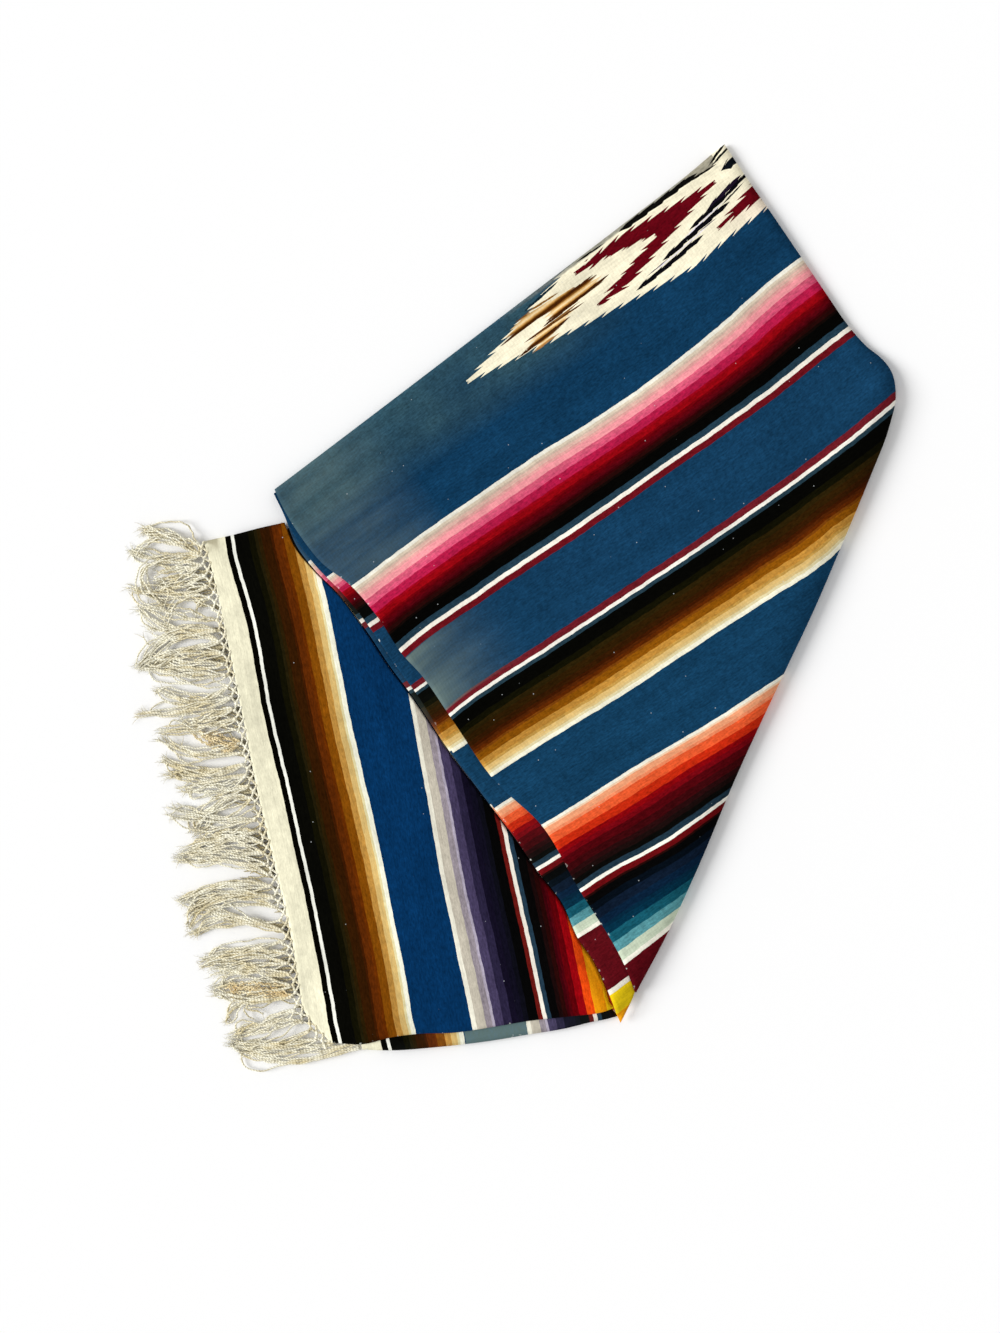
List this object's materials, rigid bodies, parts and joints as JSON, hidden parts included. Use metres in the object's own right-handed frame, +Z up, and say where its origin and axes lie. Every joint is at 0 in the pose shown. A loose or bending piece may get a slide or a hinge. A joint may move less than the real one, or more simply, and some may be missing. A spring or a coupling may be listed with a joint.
{
  "type": "mexican serape",
  "caption": "Banded wool serape with a knotted fringe, folded lengthways and once across itself, lying flat on a surface.",
  "frame": {"origin": "on the surface that the serape rests on, under the centre of its bounding box", "axes": "+Z up out of the surface, +Y towards the far end of the upper panel, +X towards its long slanting fold"},
  "size_m": [0.8626, 1.0355, 0.0249],
  "materials": {
    "blue_ground": "matte wool weave",
    "banded_cloth": "matte wool weave",
    "dark_band": "matte wool weave",
    "inner_layers": "matte wool weave",
    "cream_yarn": "soft twisted cotton"
  },
  "bodies": {
    "root": {"panel_face": "blue_ground", "panel_second": "banded_cloth", "tail_face": "dark_band", "tail_second": "banded_cloth", "folded_layers": "inner_layers", "fringe_upper": "cream_yarn", "fringe_under": "cream_yarn"}
  },
  "joints": []
}
